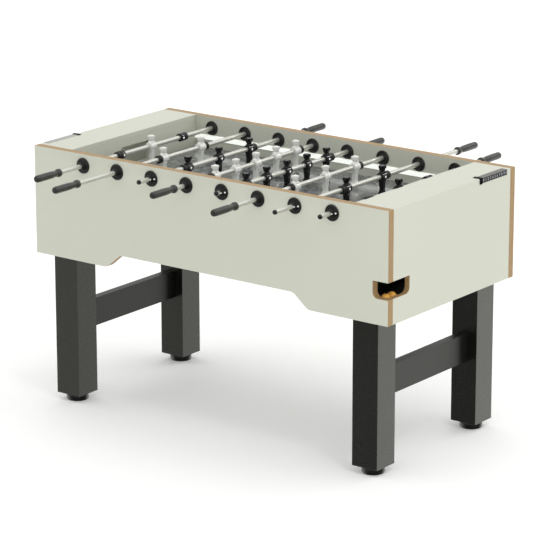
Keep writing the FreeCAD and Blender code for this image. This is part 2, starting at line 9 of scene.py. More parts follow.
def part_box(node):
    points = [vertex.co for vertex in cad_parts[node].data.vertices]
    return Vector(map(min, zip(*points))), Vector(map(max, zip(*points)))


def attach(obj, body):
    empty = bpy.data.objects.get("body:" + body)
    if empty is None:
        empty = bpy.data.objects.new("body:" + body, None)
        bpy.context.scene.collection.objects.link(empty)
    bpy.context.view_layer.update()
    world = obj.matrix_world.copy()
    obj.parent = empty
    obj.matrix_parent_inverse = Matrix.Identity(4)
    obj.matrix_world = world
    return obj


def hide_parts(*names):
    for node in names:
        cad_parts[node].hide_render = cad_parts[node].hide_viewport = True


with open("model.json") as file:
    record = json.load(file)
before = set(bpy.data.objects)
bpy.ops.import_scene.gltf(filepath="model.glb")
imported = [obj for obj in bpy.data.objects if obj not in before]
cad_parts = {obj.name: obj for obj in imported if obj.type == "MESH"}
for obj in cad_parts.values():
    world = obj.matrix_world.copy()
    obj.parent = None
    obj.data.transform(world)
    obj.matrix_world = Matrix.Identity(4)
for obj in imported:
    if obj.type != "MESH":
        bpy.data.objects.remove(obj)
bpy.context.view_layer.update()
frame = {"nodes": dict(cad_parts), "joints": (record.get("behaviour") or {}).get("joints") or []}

# Foosball table, in metres: +X to the right-hand end, +Y to the back long side, +Z up.
# The boards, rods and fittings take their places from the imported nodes, and the record's joints
# say which rod turns about which line.

MM = 0.001
RODS = range(1, 9)

# Fittings round the rods, in millimetres
BORE = 8.15
STOP_LENGTH = 16.5
COLLAR_LENGTH = 18.5
SCREW_SEAT = 5.2

ROD_LEVEL = next(joint for joint in frame["joints"] if joint["name"] == "rod_1_spin")["pos_m"][2]


def linear(red, green, blue):
    """A colour from its screen values, 0 to 255."""

    def decode(value):
        value = value / 255
        return value / 12.92 if value <= 0.04045 else ((value + 0.055) / 1.055) ** 2.4

    return (decode(red), decode(green), decode(blue), 1.0)


# ---------------------------------------------------------------- materials


class Finish:
    """A node material being put together. Each method adds nodes and gives back their output."""

    def __init__(self, name, color, **values):
        self.material = bpy.data.materials.new(name)
        self.material.use_nodes = True
        self.material.diffuse_color = color
        self.tree = self.material.node_tree
        self.shader = self.tree.nodes["Principled BSDF"]
        self.color = color
        self.shader.inputs["Base Color"].default_value = color
        for socket, value in values.items():
            self.shader.inputs[socket.replace("_", " ")].default_value = value
        self.heights = []

    def node(self, kind, inputs=(), **settings):
        """Add a node. An input is a fixed value, or an output that gets linked to it."""
        node = self.tree.nodes.new(kind)
        for name, value in settings.items():
            setattr(node, name, value)
        for socket, value in dict(inputs).items():
            if isinstance(value, bpy.types.NodeSocket):
                self.tree.links.new(value, node.inputs[socket])
            else:
                node.inputs[socket].default_value = value
        return node

    def place(self, stretch=(1, 1, 1)):
        """Object coordinates, stretched along each axis."""
        spot = self.node("ShaderNodeTexCoord").outputs["Object"]
        return self.node("ShaderNodeMapping", {"Vector": spot, "Scale": stretch}).outputs[0]

    def axis(self, letter):
        spot = self.node("ShaderNodeTexCoord").outputs["Object"]
        return self.node("ShaderNodeSeparateXYZ", {"Vector": spot}).outputs[letter]

    def noise(self, scale, detail=3.0, stretch=(1, 1, 1), distortion=0.0):
        inputs = {"Vector": self.place(stretch), "Scale": scale, "Detail": detail, "Distortion": distortion}
        return self.node("ShaderNodeTexNoise", inputs).outputs["Fac"]

    def cells(self, scale):
        inputs = {"Vector": self.place(), "Scale": scale}
        return self.node("ShaderNodeTexVoronoi", inputs).outputs["Distance"]

    def math(self, operation, *values):
        return self.node("ShaderNodeMath", dict(enumerate(values)), operation=operation).outputs[0]

    def spread(self, value, low, high, to_low=0.0, to_high=1.0):
        """Stretch the part of a texture between low and high over a new range, and clamp the rest."""
        inputs = {"Value": value, "From Min": low, "From Max": high, "To Min": to_low, "To Max": to_high}
        return self.node("ShaderNodeMapRange", inputs).outputs[0]

    def tint(self, factor, color):
        """Blend the colour so far towards another one where factor is high."""
        mix = self.node("ShaderNodeMix", data_type="RGBA")
        for socket, value in (("A", self.color), ("B", color)):
            slot = next(i for i in mix.inputs if i.name == socket and i.type == "RGBA")
            if isinstance(value, bpy.types.NodeSocket):
                self.tree.links.new(value, slot)
            else:
                slot.default_value = value
        self.tree.links.new(factor, mix.inputs["Factor"])
        self.color = next(o for o in mix.outputs if o.type == "RGBA")
        self.tree.links.new(self.color, self.shader.inputs["Base Color"])

    def rough(self, value, low, high):
        """Let the roughness follow a texture, between two values."""
        self.tree.links.new(self.spread(value, 0.3, 0.7, low, high), self.shader.inputs["Roughness"])

    def bump(self, height, depth):
        """Add relief: height is a texture, and depth is in metres."""
        inputs = {"Height": height, "Distance": depth, "Strength": 1.0}
        if self.heights:
            inputs["Normal"] = self.heights[-1]
        self.heights.append(self.node("ShaderNodeBump", inputs).outputs[0])
        self.tree.links.new(self.heights[-1], self.shader.inputs["Normal"])


def pale_laminate():
    """Pale grey-green laminate with a slightly pebbled face."""
    finish = Finish("pale_laminate", linear(205, 207, 193), Roughness=0.42)
    finish.shader.inputs["Specular IOR Level"].default_value = 0.35
    clouds = finish.noise(3.0, 4.0)
    finish.tint(finish.spread(clouds, 0.35, 0.7, 0.0, 0.35), linear(201, 203, 188))
    specks = finish.noise(900.0, 2.0)
    finish.tint(finish.spread(specks, 0.62, 0.72, 0.0, 0.12), linear(182, 182, 168))
    finish.rough(finish.noise(40.0, 3.0), 0.38, 0.47)
    finish.bump(finish.noise(1400.0, 2.0), 0.00002)
    finish.bump(finish.noise(2.2, 2.0), 0.0004)
    return finish.material


def brown_edge():
    """Wood-coloured edge band: fine streaks run along the board's edge, across its thickness in Y."""
    finish = Finish("brown_edge_band", linear(169, 139, 96), Roughness=0.5)
    streaks = finish.noise(1.0, 4.0, stretch=(14, 420, 14), distortion=0.4)
    finish.tint(finish.spread(streaks, 0.35, 0.7, 0.0, 0.6), linear(148, 118, 77))
    pores = finish.noise(1.0, 2.0, stretch=(90, 1500, 90))
    finish.tint(finish.spread(pores, 0.6, 0.75, 0.0, 0.5), linear(120, 90, 58))
    finish.rough(finish.noise(60.0, 3.0), 0.42, 0.6)
    finish.bump(pores, 0.00008)
    finish.bump(streaks, 0.00005)
    return finish.material


def dark_laminate(name, shine, roughness, stretch):
    """Near-black laminate whose fine grain runs along the axis that stretch leaves coarse."""
    finish = Finish(name, linear(19, 19, 18), Roughness=roughness)
    finish.shader.inputs["Specular Tint"].default_value = (1.0, 1.0, 0.9, 1.0)
    finish.shader.inputs["Specular IOR Level"].default_value = shine
    grain = finish.noise(1.0, 4.0, stretch=stretch, distortion=0.3)
    finish.tint(finish.spread(grain, 0.3, 0.7, 0.0, 0.7), linear(28, 28, 26))
    finish.rough(finish.noise(500.0, 2.0), roughness - 0.02, roughness + 0.04)
    finish.bump(grain, 0.000015)
    return finish.material


def pitch_line_distance(finish):
    """The distance to the nearest pitch line: two circles, the halfway line and the two goal areas."""
    big_circle = 0.368
    centre_circle = 0.09
    field_half = 0.6
    goal_area_length = 0.16
    goal_area_half = 0.165
    x = finish.axis("X")
    y = finish.axis("Y")
    radius_squared = finish.math("ADD", finish.math("MULTIPLY", x, x), finish.math("MULTIPLY", y, y))
    radius = finish.math("SQRT", radius_squared)
    circle = finish.math("ABSOLUTE", finish.math("SUBTRACT", radius, big_circle))
    centre_ring = finish.math("ABSOLUTE", finish.math("SUBTRACT", radius, centre_circle))
    halfway = finish.math("ABSOLUTE", x)
    nearest = finish.math("MINIMUM", finish.math("MINIMUM", circle, centre_ring), halfway)
    from_end = finish.math("SUBTRACT", field_half, finish.math("ABSOLUTE", x))
    past_front = finish.math("SUBTRACT", from_end, goal_area_length)
    past_side = finish.math("SUBTRACT", finish.math("ABSOLUTE", y), goal_area_half)
    past_goal_area = finish.math("MAXIMUM", past_front, past_side)
    return finish.math("MINIMUM", nearest, finish.math("ABSOLUTE", past_goal_area))


def playfield_laminate():
    """Cloudy grey laminate, with the pale lines of the pitch."""
    finish = Finish("playfield_laminate", linear(117, 119, 119), Roughness=0.13)
    clouds = finish.noise(7.0, 7.0, distortion=1.6)
    finish.tint(finish.spread(clouds, 0.38, 0.62), linear(78, 81, 84))
    veins = finish.noise(16.0, 6.0, stretch=(1.0, 2.2, 1.0), distortion=2.4)
    finish.tint(finish.spread(veins, 0.55, 0.66, 0.0, 0.6), linear(156, 158, 157))
    warm = finish.noise(9.0, 5.0, stretch=(2.0, 1.0, 1.0), distortion=1.2)
    finish.tint(finish.spread(warm, 0.55, 0.68, 0.0, 0.5), linear(112, 106, 96))
    nearest = pitch_line_distance(finish)
    line = 0.0022
    drawn = finish.spread(nearest, line * 0.6, line, 1.0, 0.0)
    worn = finish.spread(finish.noise(25.0, 3.0), 0.3, 0.6, 0.45, 0.75)
    finish.tint(finish.math("MULTIPLY", drawn, worn), linear(196, 198, 197))
    finish.rough(finish.noise(24.0, 4.0), 0.08, 0.16)
    finish.bump(finish.noise(1200.0, 2.0), 0.00001)
    return finish.material


def white_strip():
    """Glossy white trim along the long sides, with a painted glow: its emission makes it brighter than the
    room's light makes it.
    """
    finish = Finish("white_strip", linear(250, 252, 247), Roughness=0.2)
    # Painted glow: the emission lifts the trim above the brightness the lamps give it.
    finish.shader.inputs["Emission Color"].default_value = linear(250, 255, 248)
    finish.shader.inputs["Emission Strength"].default_value = 0.58
    finish.tint(finish.spread(finish.noise(18.0, 3.0), 0.45, 0.75, 0.0, 0.25), linear(236, 238, 232))
    finish.bump(finish.noise(300.0, 2.0), 0.00002)
    return finish.material


def moulded(name, color, roughness, grain=0.00004, grain_scale=900.0, shine=0.5):
    """Moulded plastic or rubber: a fine grain, faint flow marks and slight unevenness in gloss."""
    finish = Finish(name, color, Roughness=roughness)
    finish.shader.inputs["Specular IOR Level"].default_value = shine
    darker = tuple(channel * 0.82 for channel in color[:3]) + (1.0,)
    finish.tint(finish.spread(finish.noise(45.0, 4.0), 0.35, 0.7, 0.0, 0.55), darker)
    finish.rough(finish.noise(120.0, 3.0), roughness * 0.85, roughness * 1.2)
    finish.bump(finish.noise(grain_scale, 3.0), grain)
    return finish.material


def chrome():
    """Satin chrome with fine scratches along the tube."""
    finish = Finish("chrome_plate", linear(204, 204, 196), Roughness=0.34, Metallic=0.6)
    scratches = finish.noise(1.0, 3.0, stretch=(1800, 18, 1800))
    finish.rough(scratches, 0.3, 0.4)
    finish.tint(finish.spread(finish.noise(20.0, 3.0), 0.4, 0.75, 0.0, 0.4), linear(198, 198, 190))
    finish.bump(scratches, 0.000004)
    return finish.material


def zinc():
    """Bright zinc plating of the hidden bolts and the studs."""
    finish = Finish("zinc_plate", linear(196, 197, 198), Roughness=0.3, Metallic=1.0)
    finish.rough(finish.noise(300.0, 3.0), 0.22, 0.4)
    finish.tint(finish.spread(finish.noise(220.0, 2.0), 0.4, 0.7, 0.0, 0.5), linear(168, 170, 172))
    finish.bump(finish.noise(700.0, 2.0), 0.00001)
    return finish.material


def screw_head():
    """Screw heads painted near white with a slight glow: a painted glint that shows from every side."""
    # Painted glint: the near-white base and the emission make each small head show as a bright dot.
    finish = Finish("screw_head", linear(248, 249, 246), Roughness=0.25, Metallic=0.2)
    finish.shader.inputs["Emission Color"].default_value = linear(250, 250, 248)
    finish.shader.inputs["Emission Strength"].default_value = 0.3
    finish.rough(finish.noise(400.0, 3.0), 0.24, 0.4)
    finish.tint(finish.spread(finish.noise(500.0, 2.0), 0.4, 0.7, 0.0, 0.4), linear(232, 233, 232))
    finish.bump(finish.noise(900.0, 2.0), 0.00001)
    return finish.material


def ball_skin():
    """Orange ball with a finely dimpled skin."""
    finish = Finish("orange_ball", linear(242, 184, 84), Roughness=0.42)
    finish.tint(finish.spread(finish.noise(90.0, 3.0), 0.4, 0.7, 0.0, 0.6), linear(230, 164, 62))
    dimples = finish.cells(520.0)
    finish.rough(finish.noise(160.0, 2.0), 0.36, 0.52)
    finish.bump(dimples, 0.00015)
    return finish.material


FINISHES = {
    "pale_laminate": pale_laminate(),
    "edge": brown_edge(),
    "dark_laminate": dark_laminate("dark_laminate", shine=0.9, roughness=0.25, stretch=(260, 260, 9)),
    "dark_rail": dark_laminate("dark_rail", shine=0.6, roughness=0.4, stretch=(260, 9, 260)),
    "playfield_laminate": playfield_laminate(),
    "white_strip": white_strip(),
    "tray_plastic": moulded("tray_plastic", linear(26, 25, 23), 0.55),
    "black_plastic": moulded("black_plastic", linear(30, 30, 29), 0.36),
    "counter_plastic": moulded("counter_plastic", linear(104, 101, 98), 0.42),
    "counter_plate": moulded("counter_plate", linear(38, 38, 37), 0.5, shine=0.3),
    # Paler copy of the counter plastic for the left rail: painted sheen of its top at a grazing angle.
    "counter_painted_sheen": moulded("counter_painted_sheen", linear(168, 168, 163), 0.42),
    "marker_plastic": moulded("marker_plastic", linear(7, 7, 7), 0.6, shine=0.1),
    "black_rubber": moulded("black_rubber", linear(20, 20, 20), 0.5, grain=0.00006),
    "charcoal_grip": moulded("charcoal_grip", linear(47, 47, 43), 0.34, grain=0.00005),
    "white_players": moulded("white_players", linear(236, 237, 231), 0.16, grain=0.00001, shine=0.6),
    "black_players": moulded("black_players", linear(8, 8, 9), 0.1, grain=0.00001, shine=0.4),
    "digit_paint": moulded("digit_paint", linear(192, 198, 204), 0.5, grain=0.00001),
    "chrome": chrome(),
    "zinc": zinc(),
    "screw_head": screw_head(),
    "ball": ball_skin(),
}


# ---------------------------------------------------------------- mesh building


class Shape:
    """A mesh being built from turned, lofted and flat pieces. Lengths are in millimetres."""

    def __init__(self):
        self.bm = bmesh.new()

    def _skin(self, rings, material, close_ends, flip):
        """Faces from each ring of points to the next one. A ring may be a single point."""
        for lower, upper in zip(rings, rings[1:]):
            count = max(len(lower), len(upper))
            for k in range(count):
                corners = [lower[k % len(lower)], lower[(k + 1) % len(lower)]]
                corners += [upper[(k + 1) % len(upper)], upper[k % len(upper)]]
                unique = list(dict.fromkeys(corners))
                if len(unique) > 2:
                    face = self.bm.faces.new(unique[::-1] if flip else unique)
                    face.material_index = material
        if close_ends:
            for ring, reverse in ((rings[0], not flip), (rings[-1], flip)):
                if len(ring) > 2:
                    face = self.bm.faces.new(ring[::-1] if reverse else ring)
                    face.material_index = material

    def turned(self, profile, matrix=Matrix(), segments=40, material=0, closed=False):
        """Spin an outline of (radius, along) about +Y. A closed outline is a ring with a bore."""
        rings = []
        for radius, along in profile:
            if radius < 1e-6:
                rings.append([self.bm.verts.new(matrix @ (Vector((0, along, 0)) * MM))])
                continue
            ring = []
            for k in range(segments):
                angle = 2 * math.pi * k / segments
                point = Vector((radius * math.cos(angle), along, radius * math.sin(angle)))
                ring.append(self.bm.verts.new(matrix @ (point * MM)))
            rings.append(ring)
        if closed:
            rings.append(rings[0])
        self._skin(rings, material, False, True)

    def lofted(self, sections, matrix=Matrix(), points=20, material=0, waves=0.0):
        """Skin over sections (z, centre_x, half_x, half_y, squareness) stacked upwards.

        Squareness goes from 0, an ellipse, to 1, nearly a rectangle. Waves is the share of its size by
        which the outline swells and shrinks round its lobes.
        """
        lobes = 7
        rings = []
        for z, centre, half_x, half_y, squareness in sections:
            ring = []
            for k in range(points):
                angle = 2 * math.pi * (k + 0.5) / points
                power = 2 / (2 + 6 * squareness)
                swell = 1 + waves * math.cos(lobes * angle)
                side = math.cos(angle)
                front = math.sin(angle)
                x = centre + swell * half_x * math.copysign(abs(side) ** power, side)
                y = swell * half_y * math.copysign(abs(front) ** power, front)
                ring.append(self.bm.verts.new(matrix @ (Vector((x, y, z)) * MM)))
            rings.append(ring)
        self._skin(rings, material, True, False)

    def block(self, low, high, matrix=Matrix(), material=0):
        """A box between two corners."""
        corners = [
            self.bm.verts.new(matrix @ (Vector((x, y, z)) * MM))
            for z in (low[2], high[2])
            for y in (low[1], high[1])
            for x in (low[0], high[0])
        ]
        for index in ((0, 2, 3, 1), (4, 5, 7, 6), (0, 1, 5, 4), (2, 6, 7, 3), (0, 4, 6, 2), (1, 3, 7, 5)):
            self.bm.faces.new([corners[i] for i in index]).material_index = material

    def mesh(self, name, materials, sharp=32):
        """Close the work: a smooth mesh, sharp where faces meet at more than the given angle."""
        bmesh.ops.remove_doubles(self.bm, verts=self.bm.verts, dist=1e-7)
        bmesh.ops.recalc_face_normals(self.bm, faces=self.bm.faces)
        mesh = bpy.data.meshes.new(name)
        self.bm.to_mesh(mesh)
        self.bm.free()
        for material in materials:
            mesh.materials.append(FINISHES[material])
        smooth(mesh, sharp)
        return mesh


def smooth(mesh, sharp):
    """Shade a mesh smooth, apart from edges sharper than the given angle."""
    mesh.polygons.foreach_set("use_smooth", [True] * len(mesh.polygons))
    mesh.set_sharp_from_angle(angle=math.radians(sharp))


def piece(name, mesh, body, nodes=(), matrix=None, bevel=None):
    """Put a mesh into the scene as a piece that rides on a body and stands for CAD nodes."""
    item = bpy.data.objects.new(name, mesh)
    bpy.context.scene.collection.objects.link(item)
    if matrix is not None:
        item.matrix_world = matrix
    if bevel:
        rounding = item.modifiers.new("rounded_edges", "BEVEL")
        rounding.width = bevel * MM
        rounding.segments = 2
        rounding.limit_method = "ANGLE"
        rounding.angle_limit = math.radians(35)
        rounding.harden_normals = True
    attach(item, body)
    if nodes:
        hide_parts(*nodes)
    return item


def along_y(x, y, z, flipped=False):
    """Place a piece drawn along +Y: flipped turns it to face the front side."""
    turn = Matrix.Rotation(math.pi if flipped else 0, 4, "Z")
    return Matrix.Translation((x, y, z)) @ turn


# ---------------------------------------------------------------- boards


def board(node, body, slot, bevel, edge_rule=None, finish=None):
    """A board with its edges slightly rounded, from the outline of its CAD node."""
    mesh = frame["nodes"][node].data.copy()
    mesh.name = f"{node}_board"
    work = bmesh.new()
    work.from_mesh(mesh)
    bmesh.ops.remove_doubles(work, verts=work.verts, dist=1e-5)
    bmesh.ops.dissolve_limit(work, angle_limit=math.radians(1), verts=work.verts, edges=work.edges)
    mesh.materials.clear()
    mesh.materials.append(FINISHES[finish or slot])
    mesh.materials.append(FINISHES["edge"])
    for face in work.faces:
        face.material_index = 1 if edge_rule and edge_rule(face) else 0
    work.to_mesh(mesh)
    work.free()
    if "custom_normal" in mesh.attributes:
        mesh.attributes.remove(mesh.attributes["custom_normal"])
    smooth(mesh, 32)
    return piece(f"{node}_shown", mesh, body, [node], bevel=bevel)


def side_edge(face):
    """Every edge of a long side is banded: its faces that don't look along Y."""
    return abs(face.normal.y) < 0.5


def end_edge(face):
    """On an end board only the pick-up's cut faces are banded."""
    low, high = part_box("end_panel_right")
    middle = face.calc_center_median()
    inside = low.z + 10 * MM < middle.z < high.z - 10 * MM
    return abs(face.normal.x) < 0.5 and inside and abs(middle.y) < high.y - 5 * MM


def build_boards():
    """The cabinet's boards, the legs and the stretchers."""
    for side in ("front", "back"):
        board(f"side_panel_{side}", "root", "pale_laminate", 0.8, side_edge)
    for end in ("left", "right"):
        board(f"end_panel_{end}", "root", "pale_laminate", 0.8, end_edge)
        board(f"end_cover_{end}", "root", "pale_laminate", 0.8)
        board(f"goal_wall_{end}", "root", "pale_laminate", 1.2)
        board(f"stretcher_{end}", "root", "dark_laminate", 1.0, finish="dark_rail")
        for side in ("front", "back"):
            board(f"leg_{side}_{end}", "root", "dark_laminate", 1.5)


def paint_nodes():
    """Nodes whose CAD shape is right as it is get their finish in place."""
    finish_of = {
        "playfield": "playfield_laminate",
        "side_wall_trims": "white_strip",
        "ball_trays": "tray_plastic",
        "frame_fasteners": "zinc",
        **{f"rod_{n}_tube": "chrome" for n in RODS},
    }
    for node, finish in finish_of.items():
        materials = frame["nodes"][node].data.materials
        materials.clear()
        materials.append(FINISHES[finish])


# ---------------------------------------------------------------- rods


def rod_x(number):
    """A rod's place along the table, from its hinge."""
    joint = next(j for j in frame["joints"] if j["name"] == f"rod_{number}_spin")
    return joint["pos_m"][0]


def handle_on_front(number):
    """Whether a rod is played from the front side."""
    low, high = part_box(f"rod_{number}_handle")
    return (low.y + high.y) / 2 < 0


def bearing_mesh(with_screws):
    """Barrel through the wall, grooved flange outside it and a longer boss; it looks along +Y."""
    flange_face = 33
    boss_face = 46
    shape = Shape()
    barrel = [(BORE, 0), (15, 0), (15, 28)]
    flange = [(26.7, 28), (27.5, 28.8), (27.5, 31.2), (26.4, 32.6), (24.4, flange_face)]
    flange += [(22.4, flange_face), (21.6, 31.8), (19.4, 31.8), (18.6, flange_face)]
    flange += [(16.6, flange_face), (15.8, 32), (14.4, 32), (13.5, flange_face)]
    boss = [(13.5, 37.6), (12.9, 38.2), (12.9, 39.8), (13.5, 40.4), (13.5, 44.8), (12.5, boss_face)]
    boss += [(9.4, boss_face), (BORE, 45)]
    profile = barrel + flange + boss
    shape.turned(profile, segments=56, closed=True)
    if with_screws:
        # Screw heads on the boss and the flange, in the glowing screw finish: painted glints there.
        screws = [(-10.8, boss_face, 2.2), (-17.0, flange_face, 2.8)]
        for across, seat, radius in screws:
            head = [(0, seat - 2), (radius, seat - 2), (radius, seat + 0.7)]
            head += [(radius - 0.8, seat + 1.4), (0, seat + 1.5)]
            place = Matrix.Translation((across * MM, 0, 1 * MM))
            shape.turned(head, place, segments=14, material=1)
    return shape.mesh("bearing_housing", ["black_plastic", "screw_head"])


def lock_ring_mesh():
    """Ring inside the wall, with four lugs for a spanner."""
    shape = Shape()
    profile = [(BORE, -5), (11, -5), (12, -4.4), (20.5, -4.4), (21.5, -5), (24.5, -5)]
    profile += [(25.6, -3.9), (26, 0), (BORE, 0)]
    shape.turned(profile, segments=56, closed=True)
    for quarter in range(4):
        turn = Matrix.Rotation(quarter * math.pi / 2 + math.pi / 4, 4, "Y")
        shape.block((-2.4, -6.2, 14), (2.4, -4.2, 23), turn)
    return shape.mesh("bearing_lock_ring", ["black_plastic"])


def stop_mesh():
    """Rubber ring with two shallow grooves round it."""
    shape = Shape()
    half = STOP_LENGTH / 2
    profile = [(BORE, -half), (12.4, -half), (13.6, -half + 0.5), (14, -half + 1.7), (14, -4.4), (13.4, -3.8)]
    profile += [(13.4, -2.8), (14, -2.2)]
    profile += [(radius, -along) for radius, along in reversed(profile)]
    shape.turned(profile, segments=48, closed=True)
    return shape.mesh("stop_ring", ["black_rubber"])


def collar_mesh():
    """Collar with a rolled rim at each end and a screw that faces +X."""
    shape = Shape()
    half = COLLAR_LENGTH / 2
    profile = [(BORE, -half), (13.0, -half), (14.1, -half + 0.5), (14.5, -half + 1.6), (14.5, -half + 3.2)]
    profile += [(14.0, -half + 3.8)]
    profile += [(radius, -along) for radius, along in reversed(profile)]
    shape.turned(profile, segments=48, closed=True)
    add_screw(shape, 14.0)
    return shape.mesh("stop_collar", ["black_players", "screw_head"])


def add_screw(shape, distance, turn=0.0):
    """A hexagon-socket screw in a raised seat, facing +X at a distance from the rod's axis."""
    face = Matrix.Rotation(turn, 4, "Y") @ Matrix.Rotation(-math.pi / 2, 4, "Z")
    boss = [
        (0, distance - 4),
        (SCREW_SEAT, distance - 4),
        (SCREW_SEAT, distance + 0.1),
        (SCREW_SEAT - 0.4, distance + 0.6),
        (4.1, distance + 0.6),
        (4.1, distance - 1),
        (0, distance - 1),
    ]
    screw = [
        (0, distance - 2),
        (3.9, distance - 2),
        (3.9, distance + 0.9),
        (3.3, distance + 1.4),
        (1.4, distance + 1.4),
        (1.2, distance),
        (0, distance),
    ]
    shape.turned(boss, face, segments=20)
    shape.turned(screw, face, segments=12, material=1)


def cap_mesh():
    """Domed end cap, and its plug inside the tube."""
    shape = Shape()
    dome = [(0, 0), (4, 0.1), (6.4, 0.7), (7.5, 1.9), (8, 3.6), (8, 7.2), (7.6, 8)]
    plug = [(5.9, 8), (5.9, 22), (5, 23), (0, 23)]
    profile = dome + plug
    shape.turned(profile, segments=32)
    return shape.mesh("rod_cap", ["black_plastic"])


def handle_mesh():
    """Grip: a rounded collar, a waist for the fingers, and a barrel with an inset ring at its end."""
    shape = Shape()
    collar = [(BORE, 0), (12.4, 0), (13.6, 0.8), (14.0, 2.4), (14.0, 9.0), (13.6, 11.6)]
    waist = [(12.4, 14.2), (11.0, 16.6), (10.2, 19.2), (10.0, 22.0), (10.4, 26), (11.2, 33), (11.9, 42)]
    barrel = [(12.4, 56), (12.5, 70), (12.5, 98), (12.4, 110), (12.0, 114.5), (11.0, 118), (9.4, 120.3)]
    end = [(8.0, 121), (7.0, 121), (6.6, 120.2), (5.4, 120.2), (5.0, 121), (0, 121)]
    profile = collar + waist + barrel + end
    shape.turned(profile, segments=48)
    shape.turned([(0, 100), (BORE, 100), (BORE, 0)], segments=48)
    return shape.mesh("grip", ["charcoal_grip"], sharp=40)


def player_mesh(finish):
    """A player who looks towards +X: flat-topped hair, arms at the sides, a hub and a wedge foot."""
    shape = Shape()
    body = [
        (-69.5, 0, 5.6, 11.0, 0.9),
        (-68.6, 0, 7.0, 11.9, 0.9),
        (-64.0, 0, 9.8, 12.4, 0.9),
        (-60.0, 0, 11.4, 12.5, 0.9),
        (-57.0, 0, 10.4, 12.1, 0.9),
        (-52.0, 0.4, 8.0, 10.6, 0.6),
        (-46.0, 0.2, 6.6, 9.5, 0.4),
        (-38.0, -0.3, 7.2, 9.7, 0.35),
        (-28.0, 0.2, 7.8, 10.2, 0.3),
        (-20.0, 0.3, 8.8, 10.9, 0.3),
        (-18.6, 0.3, 9.8, 11.8, 0.3),
        (-10.0, 0, 10.6, 12.2, 0.25),
        (0.0, 0, 10.4, 12.0, 0.2),
        (7.0, 0.4, 9.8, 11.8, 0.2),
        (12.0, 0.4, 9.2, 12.8, 0.25),
        (15.2, 0, 8.2, 12.8, 0.3),
        (17.0, -0.2, 7.2, 10.4, 0.3),
        (18.0, -0.2, 7.0, 7.6, 0.1),
        (19.0, 0, 7.0, 7.2, 0.1),
        (20.4, 0.5, 8.0, 7.8, 0.2),
        (22.4, 0.6, 9.0, 8.8, 0.3),
        (27.0, 0.5, 9.4, 9.3, 0.3),
        (32.0, 0.2, 9.4, 9.3, 0.3),
    ]
    hair = [
        (27.6, -1.0, 8.8, 9.2, 0.3),
        (28.8, -0.6, 9.7, 9.8, 0.35),
        (34.0, -0.2, 10.0, 10.0, 0.4),
        (36.4, -0.2, 9.6, 9.6, 0.45),
        (38.0, -0.2, 8.0, 8.0, 0.45),
    ]
    shape.lofted(body, points=28)
    shape.lofted(hair, points=42, waves=0.17)
    for side in (-1, 1):
        add_arm(shape, side)
        add_leg_line(shape, side)
    nose = Matrix.Translation((8.7 * MM, 0, 26.0 * MM))
    shape.lofted([(-1.6, 0.6, 1.4, 1.3, 0), (0, 0.5, 1.2, 1.0, 0), (2.4, -0.4, 0.9, 0.7, 0)], nose, points=10)
    rim = [(BORE, -15.5), (13.0, -15.5), (14.1, -14.9), (14.5, -13.7), (14.5, -10.4), (13.9, -9.8)]
    hub = rim + [(radius, -along) for radius, along in reversed(rim)]
    shape.turned(hub, segments=44, closed=True)
    add_screw(shape, 13.9, turn=math.pi)
    return shape.mesh(f"{finish}_figure", [finish, "screw_head"], sharp=38)


def add_arm(shape, side):
    """An arm from the shoulder down to the hip, held against the body."""
    tilt = Matrix.Rotation(math.radians(-4 * side), 4, "X")
    place = Matrix.Translation((0.6 * MM, side * 12.2 * MM, 0)) @ tilt
    arm = [
        (-15.5, 2.2, 2.0, 1.6, 0.1),
        (-14.0, 2.0, 3.0, 2.3, 0.1),
        (-10.0, 1.6, 2.8, 2.2, 0),
        (-2.0, 0.6, 3.0, 2.3, 0),
        (6.0, 0, 3.4, 2.6, 0),
        (12.0, 0, 3.9, 2.9, 0),
        (15.6, 0, 3.4, 2.3, 0),
        (17.2, 0, 1.8, 1.2, 0),
    ]
    shape.lofted(arm, place, points=14)


def add_leg_line(shape, side):
    """The shin and calf of one leg stand out a little from the joined legs."""
    place = Matrix.Translation((0, side * 5.0 * MM, 0))
    leg = [
        (-53.0, 0.6, 7.2, 4.4, 0.2),
        (-47.0, 0.4, 6.9, 4.5, 0.1),
        (-38.0, -0.6, 8.2, 4.8, 0.1),
        (-29.0, 0.3, 8.3, 5.0, 0.1),
        (-21.0, 0.6, 8.9, 5.4, 0.1),
    ]
    shape.lofted(leg, place, points=16)


def solids(node):
    """The lowest and highest y of each separate solid in a node."""
    work = bmesh.new()
    work.from_mesh(frame["nodes"][node].data)
    bmesh.ops.remove_doubles(work, verts=work.verts, dist=1e-6)
    waiting = set(work.verts)
    spans = []
    while waiting:
        reached = [waiting.pop()]
        for vert in reached:
            for edge in vert.link_edges:
                other = edge.other_vert(vert)
                if other in waiting:
                    waiting.remove(other)
                    reached.append(other)
        spans.append((min(v.co.y for v in reached), max(v.co.y for v in reached)))
    work.free()
    return sorted(spans)


